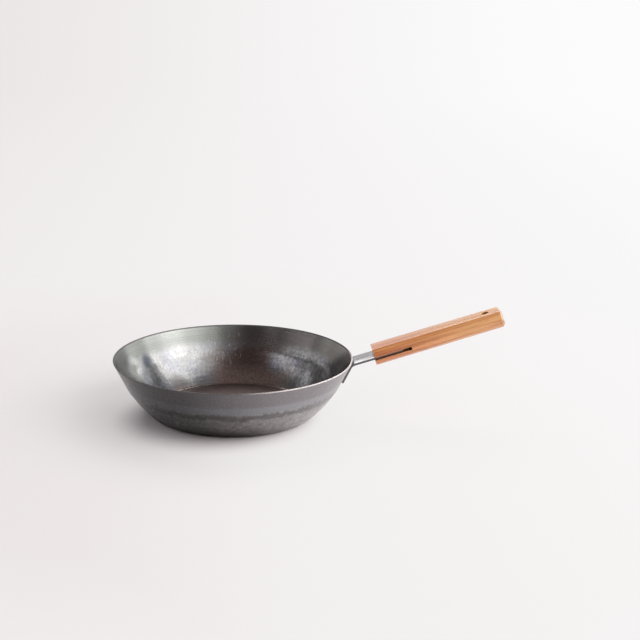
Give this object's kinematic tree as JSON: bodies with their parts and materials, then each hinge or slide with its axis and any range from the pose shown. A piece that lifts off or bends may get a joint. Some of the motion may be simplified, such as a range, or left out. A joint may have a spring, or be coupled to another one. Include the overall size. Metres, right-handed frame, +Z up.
{
  "type": "frying pan",
  "caption": "Deep hammered iron frying pan with a flat base, a bent strap bracket and a slotted wooden handle with a hanging hole.",
  "frame": {"origin": "centre of the pan's flat underside, on the surface it stands on", "axes": "+Z up out of the pan, +X from the pan's centre towards the handle, +Y completes a right-handed frame"},
  "size_m": [0.4253, 0.2598, 0.1141],
  "materials": {
    "hammered_iron": "dark seasoned iron sheet with hammer marks inside and on the lower wall, smoother band under a bright cut rim",
    "satin_steel": "satin stainless strap, faint grain along its length",
    "weld_metal": "ground weld metal",
    "oiled_wood": "light reddish-brown hardwood, oiled, straight fine grain along the handle",
    "screw_steel": "plain countersunk stainless screw"
  },
  "bodies": {
    "root": {"pan_body": "hammered_iron", "handle_bracket": "satin_steel", "plug_weld_1": "weld_metal", "plug_weld_2": "weld_metal", "plug_weld_3": "weld_metal", "plug_weld_4": "weld_metal", "wood_handle": "oiled_wood", "handle_screw_1": "screw_steel", "handle_screw_2": "screw_steel"}
  },
  "joints": []
}
